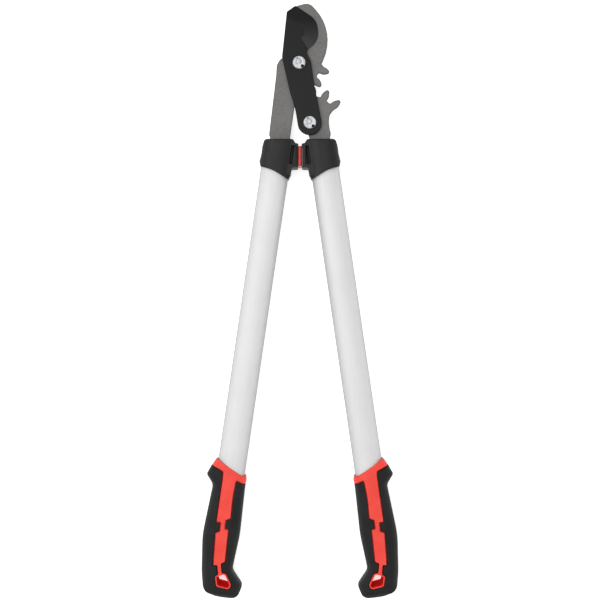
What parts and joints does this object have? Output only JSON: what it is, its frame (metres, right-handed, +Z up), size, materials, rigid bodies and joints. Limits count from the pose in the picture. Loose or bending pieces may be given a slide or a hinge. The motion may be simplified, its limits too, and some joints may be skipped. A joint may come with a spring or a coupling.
{
  "type": "geared bypass lopper",
  "caption": "Two-hand lopper: a bevelled blade passes a hook jaw, driven by meshed gear teeth, with oval tube handles and soft grips.",
  "frame": {"origin": "centre of the bounding box in plan, at the height the grips and collars rest on, with the jaws closed", "axes": "+Y runs from the grips towards the jaw tips, +Z is up through the plates with the blade above the hook jaw, +X completes the frame towards the geared handle"},
  "size_m": [0.2358, 0.7124, 0.032],
  "materials": {
    "jaw_steel": "satin grey steel with a fine matte grain",
    "blade_coating": "black low-friction coating, satin",
    "zinc_hardware": "bright zinc plating",
    "friction_washer": "smooth off-white washer",
    "nylon": "matte",
    "handle_tube": "satin silver anodised",
    "black_plastic": "fine matte moulding",
    "red_bumper": "smooth",
    "red_plastic": "satin moulding",
    "grip_rubber": "soft matte"
  },
  "bodies": {
    "hook_side": {"hook_jaw": "jaw_steel", "left_plug": "nylon", "left_rivet_upper": "zinc_hardware", "left_rivet_lower": "zinc_hardware", "left_tube": "handle_tube", "left_collar": "black_plastic", "bumper": "red_bumper", "left_grip_core": "red_plastic", "left_grip_cover": "grip_rubber"},
    "blade": {"blade": "blade_coating", "blade_bolt": "zinc_hardware", "blade_friction_washer": "friction_washer", "blade_nut_washer": "zinc_hardware", "blade_nut": "zinc_hardware", "gear_bolt": "zinc_hardware", "gear_friction_washer": "friction_washer", "gear_nut_washer": "zinc_hardware", "gear_nut": "zinc_hardware"},
    "gear_side": {"gear_arm": "jaw_steel", "right_plug": "nylon", "right_rivet_upper": "zinc_hardware", "right_rivet_lower": "zinc_hardware", "right_tube": "handle_tube", "right_collar": "black_plastic", "right_grip_core": "red_plastic", "right_grip_cover": "grip_rubber"}
  },
  "joints": [
    {"name": "blade_pivot", "type": "hinge", "parent": "hook_side", "child": "blade", "pos_m": [-0.0011, 0.2841, 0.021], "axis": [0, 0, 1], "range_deg": [0, 50]},
    {"name": "gear_pivot", "type": "hinge", "parent": "blade", "child": "gear_side", "pos_m": [0.0117, 0.2124, 0.021], "axis": [0, 0, 1], "range_deg": [0, 40]}
  ],
  "couplings": [
    {"joint": "gear_pivot", "follows": "blade_pivot", "ratio": 0.8}
  ]
}
